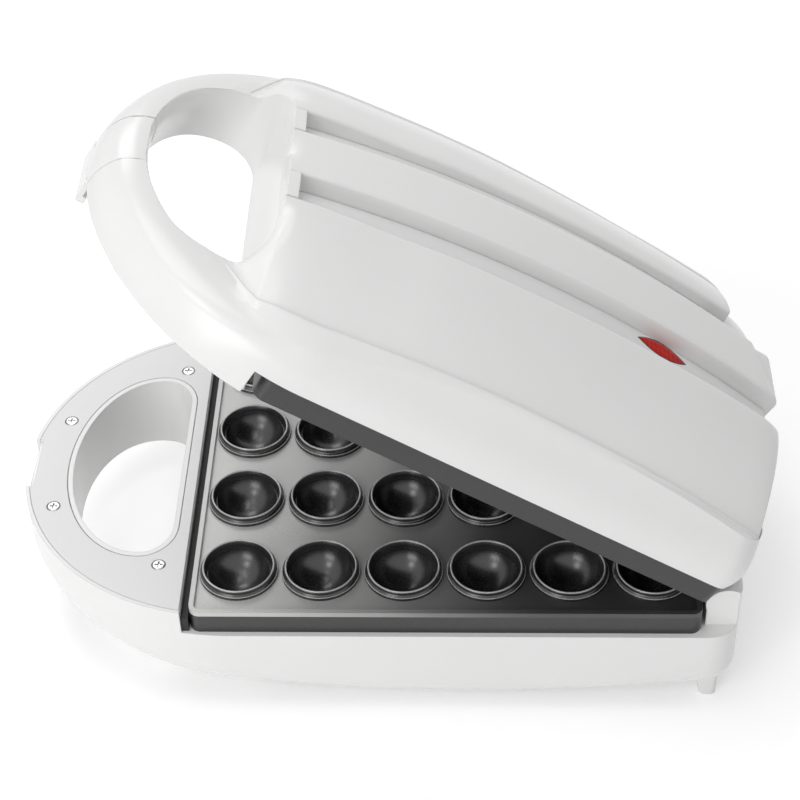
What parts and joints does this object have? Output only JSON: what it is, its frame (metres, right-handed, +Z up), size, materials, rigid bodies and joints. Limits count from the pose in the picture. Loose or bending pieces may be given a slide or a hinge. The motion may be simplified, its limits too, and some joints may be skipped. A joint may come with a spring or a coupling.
{
  "type": "electric nut cookie maker",
  "caption": "Clamshell electric baking press with ringed handles, dimpled cooking plates meeting domed formers, a grooved lid, an indicator window and a nose latch.",
  "frame": {"origin": "middle of the overall box at table height, with the lid open at its pictured angle", "axes": "+X along the hinge to the side with the indicator window, +Y from the handle to the hinge, +Z up"},
  "size_m": [0.2, 0.3564, 0.2566],
  "materials": {
    "white_housing": "glossy white moulded plastic",
    "satin_panel": "satin off-white moulded plastic",
    "steel_screw": "plated steel cross-head screw",
    "non_stick_plate": "die-cast aluminium with dark grey non-stick coating",
    "element_steel": "heat-tinted steel",
    "reflector_sheet": "pressed bright sheet",
    "pin_steel": "ground steel pin",
    "foot_rubber": "matte pale grey rubber",
    "gland_rubber": "matte pale grey rubber",
    "ceramic_block": "unglazed cream insulator",
    "lead_sleeve": "woven heat-proof sleeve",
    "red_lens": "clear red moulded plastic",
    "lamp_body": "moulded lamp holder",
    "thermostat_body": "dark phenolic moulding with steel tabs"
  },
  "bodies": {
    "base": {"base_housing": "white_housing", "handle_panel": "satin_panel", "handle_panel_screws": "steel_screw", "lower_plate": "non_stick_plate", "lower_cups": "non_stick_plate", "lower_heater": "element_steel", "lower_reflector": "reflector_sheet", "lower_plate_screws": "steel_screw", "hinge_pins": "pin_steel", "front_feet": "foot_rubber", "cord_gland": "gland_rubber", "terminal_block": "ceramic_block", "thermal_fuse": "element_steel", "lower_leads": "lead_sleeve"},
    "lid": {"lid_housing": "white_housing", "right_groove_trim": "satin_panel", "left_groove_trim": "satin_panel", "indicator_lens": "red_lens", "indicator_lamp": "lamp_body", "upper_plate": "non_stick_plate", "upper_formers": "non_stick_plate", "upper_heater": "element_steel", "upper_reflector": "reflector_sheet", "upper_plate_screws": "steel_screw", "lid_handle_panel": "satin_panel", "lid_handle_screws": "steel_screw", "thermostat": "thermostat_body", "latch_pin": "pin_steel"},
    "latch": {"latch_clip": "white_housing"}
  },
  "joints": [
    {"name": "lid_hinge", "type": "hinge", "parent": "base", "child": "lid", "pos_m": [0, 0.15283, 0.065], "axis": [-1, 0, 0], "range_deg": [-32.5, 67.5]},
    {"name": "latch_pivot", "type": "hinge", "parent": "lid", "child": "latch", "pos_m": [0, -0.10502, 0.24764], "axis": [-1, 0, 0], "range_deg": [0, 25]}
  ]
}
